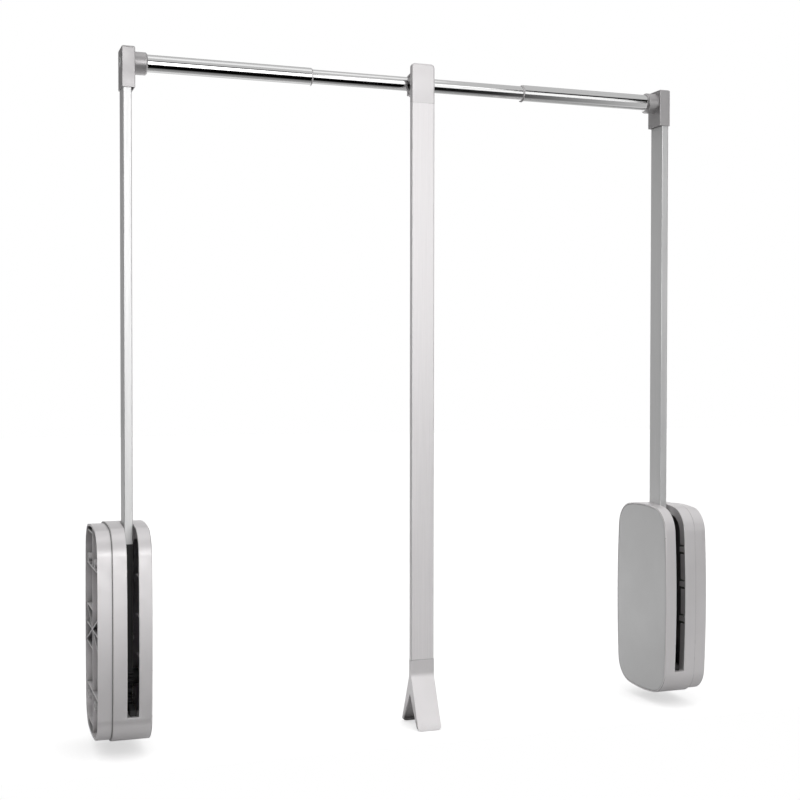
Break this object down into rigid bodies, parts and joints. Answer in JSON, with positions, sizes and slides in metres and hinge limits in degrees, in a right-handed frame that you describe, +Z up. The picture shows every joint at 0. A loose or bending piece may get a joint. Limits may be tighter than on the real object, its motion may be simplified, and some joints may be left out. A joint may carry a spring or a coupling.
{
  "type": "pull down closet rod",
  "caption": "Hanging rail on swinging sprung arms between wall housings; a long handle on the rail pulls it forward and down into reach.",
  "frame": {"origin": "in the plane of the left closet side, at the centre of the left housing's four wall screws", "axes": "+X along the rail towards the right closet side, +Y towards the back of the closet, +Z up; arms upright"},
  "size_m": [0.83, 0.138, 0.8665],
  "materials": {
    "shell": "moulded light grey plastic, fine eggshell texture",
    "panel": "moulded mid grey plastic, satin",
    "arm_paint": "silver grey powder coat on an aluminium profile",
    "bracket": "moulded grey plastic, satin",
    "screw_cap": "plated, flat",
    "chrome_tube": "polished chrome on steel tube",
    "chrome_tube_inner": "polished chrome on steel tube",
    "sleeve": "silver grey plastic ring",
    "handle_plastic": "moulded light grey plastic",
    "clamp_plastic": "moulded mid grey plastic",
    "handle_bar": "satin anodised extrusion",
    "steel": "zinc plated, satin",
    "spring_steel": "oiled spring wire",
    "gear_metal": "sintered, fine grain",
    "dark_plastic": "black acetal",
    "rubber_stop": "soft black rubber"
  },
  "bodies": {
    "left_housing": {"left_base_shell": "shell", "left_cover": "shell", "left_side_panel": "panel", "left_cover_screws": "steel", "left_bump_stops": "rubber_stop", "left_pivot_pin": "steel", "left_spring_rod": "steel", "left_damper_body": "dark_plastic", "left_lift_spring": "spring_steel"},
    "left_frame": {"left_arm_hub": "gear_metal", "left_hub_rivets": "steel", "left_pivot_bushes": "dark_plastic", "left_arm": "arm_paint", "left_rod_bracket": "bracket", "left_bracket_screw": "screw_cap", "left_tube_plug": "dark_plastic", "left_outer_tube": "chrome_tube", "left_tube_sleeve": "sleeve"},
    "left_carriage": {"left_spring_rack": "gear_metal"},
    "left_damper_gear": {"left_damper_pinion": "dark_plastic"},
    "middle_rail": {"inner_tube": "chrome_tube_inner", "inner_glides": "dark_plastic"},
    "handle": {"handle_head": "handle_plastic", "handle_clamp": "clamp_plastic", "clamp_screws": "steel", "handle_bar": "handle_bar", "handle_pins": "steel", "handle_foot": "handle_plastic"},
    "right_frame": {"right_arm_hub": "gear_metal", "right_hub_rivets": "steel", "right_pivot_bushes": "dark_plastic", "right_arm": "arm_paint", "right_rod_bracket": "bracket", "right_bracket_screw": "screw_cap", "right_tube_plug": "dark_plastic", "right_outer_tube": "chrome_tube", "right_tube_sleeve": "sleeve"},
    "right_housing": {"right_base_shell": "shell", "right_cover": "shell", "right_side_panel": "panel", "right_cover_screws": "steel", "right_bump_stops": "rubber_stop", "right_pivot_pin": "steel", "right_spring_rod": "steel", "right_damper_body": "dark_plastic", "right_lift_spring": "spring_steel"},
    "right_carriage": {"right_spring_rack": "gear_metal"},
    "right_damper_gear": {"right_damper_pinion": "dark_plastic"}
  },
  "joints": [
    {"name": "left_swing", "type": "hinge", "parent": "left_housing", "child": "left_frame", "pos_m": [0.0424, -0.0078, -0.0584], "axis": [1, 0, 0], "range_deg": [0, 105], "stiffness_Nm_per_rad": 12, "springref_deg": -20.05},
    {"name": "left_rack_lift", "type": "slide", "parent": "left_housing", "child": "left_carriage", "axis": [0, 0, 1], "range_m": [0, 0.0323], "deforming": ["left_lift_spring"]},
    {"name": "left_damper_turn", "type": "hinge", "parent": "left_housing", "child": "left_damper_gear", "pos_m": [0.0424, -0.0078, -0.08825], "axis": [1, 0, 0], "range_deg": [-152.8, 0]},
    {"name": "extend_left", "type": "slide", "parent": "left_frame", "child": "middle_rail", "axis": [1, 0, 0], "range_m": [0, 0.17]},
    {"name": "extend_right", "type": "slide", "parent": "middle_rail", "child": "right_frame", "axis": [1, 0, 0], "range_m": [0, 0.15]},
    {"name": "handle_swing", "type": "hinge", "parent": "middle_rail", "child": "handle", "pos_m": [0.4224, -0.0078, 0.6955], "axis": [-1, 0, 0], "range_deg": [-45, 115]},
    {"name": "right_housing_turn", "type": "hinge", "parent": "right_frame", "child": "right_housing", "pos_m": [0.7876, -0.0078, -0.0584], "axis": [1, 0, 0], "range_deg": [-105, 0]},
    {"name": "right_rack_lift", "type": "slide", "parent": "right_housing", "child": "right_carriage", "axis": [0, 0, 1], "range_m": [0, 0.0323], "deforming": ["right_lift_spring"]},
    {"name": "right_damper_turn", "type": "hinge", "parent": "right_housing", "child": "right_damper_gear", "pos_m": [0.7876, -0.0078, -0.08825], "axis": [1, 0, 0], "range_deg": [-152.8, 0]}
  ],
  "couplings": [
    {"joint": "left_rack_lift", "follows": "left_swing", "m_per_rad": 0.0176},
    {"joint": "left_damper_turn", "follows": "left_swing", "ratio": -1.4545},
    {"joint": "right_housing_turn", "follows": "left_swing", "ratio": -1},
    {"joint": "right_rack_lift", "follows": "left_swing", "m_per_rad": 0.0176},
    {"joint": "right_damper_turn", "follows": "left_swing", "ratio": -1.4545}
  ]
}
